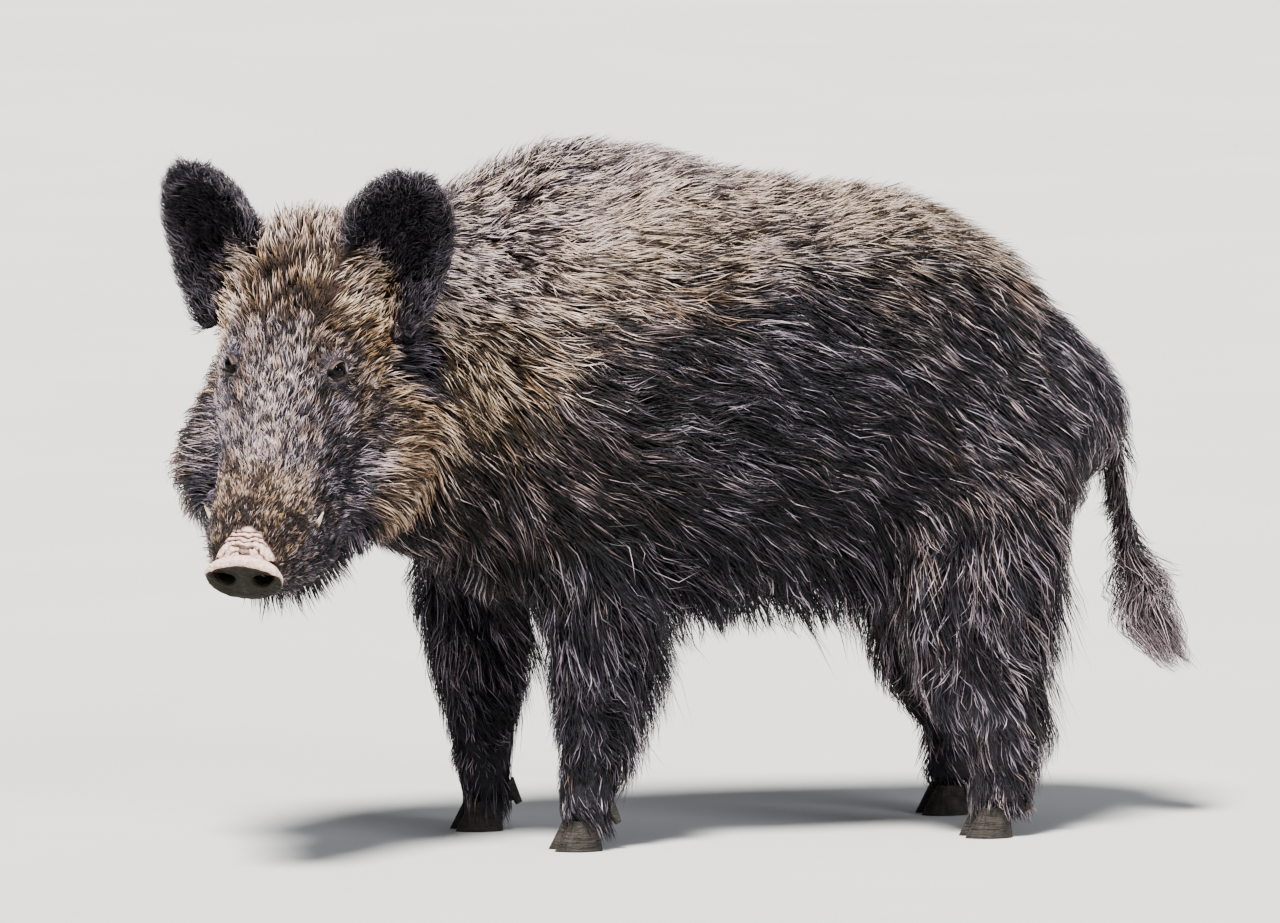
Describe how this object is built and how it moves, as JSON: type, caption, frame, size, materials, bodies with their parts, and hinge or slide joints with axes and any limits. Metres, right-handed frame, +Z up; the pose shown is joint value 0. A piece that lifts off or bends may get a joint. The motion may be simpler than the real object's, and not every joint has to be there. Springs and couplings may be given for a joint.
{
  "type": "wild boar",
  "caption": "Life-size male wild boar standing still, with its muzzle lowered and its head turned to its left.",
  "frame": {"origin": "middle of the animal's footprint box, on the ground under the belly", "axes": "+X towards the tail, along the body; +Y towards the animal's right side; +Z up"},
  "size_m": [1.2666, 0.518, 0.8229],
  "materials": {
    "bristle": "coarse grizzled brown-black bristle coat with pale tips",
    "dark_fur": "dense black-brown ear fur",
    "bare_skin": "moist bare pinkish-grey snout skin",
    "eye": "wet dark brown",
    "ivory": "worn ivory",
    "horn": "dull dark horn"
  },
  "bodies": {
    "root": {"head": "bristle", "neck": "bristle", "trunk": "bristle", "tail": "bristle", "leg_fore_left": "bristle", "leg_fore_right": "bristle", "leg_hind_left": "bristle", "leg_hind_right": "bristle", "ear_left": "dark_fur", "ear_right": "dark_fur", "snout": "bare_skin", "eye_left": "eye", "eye_right": "eye", "tusk_left": "ivory", "tusk_right": "ivory", "hoof_fore_left_a": "horn", "hoof_fore_left_b": "horn", "hoof_fore_right_a": "horn", "hoof_fore_right_b": "horn", "hoof_hind_left_a": "horn", "hoof_hind_left_b": "horn", "hoof_hind_right_a": "horn", "hoof_hind_right_b": "horn", "dewclaw_fore_left_a": "horn", "dewclaw_fore_left_b": "horn", "dewclaw_fore_right_a": "horn", "dewclaw_fore_right_b": "horn", "dewclaw_hind_left_a": "horn", "dewclaw_hind_left_b": "horn", "dewclaw_hind_right_a": "horn", "dewclaw_hind_right_b": "horn"}
  },
  "joints": []
}
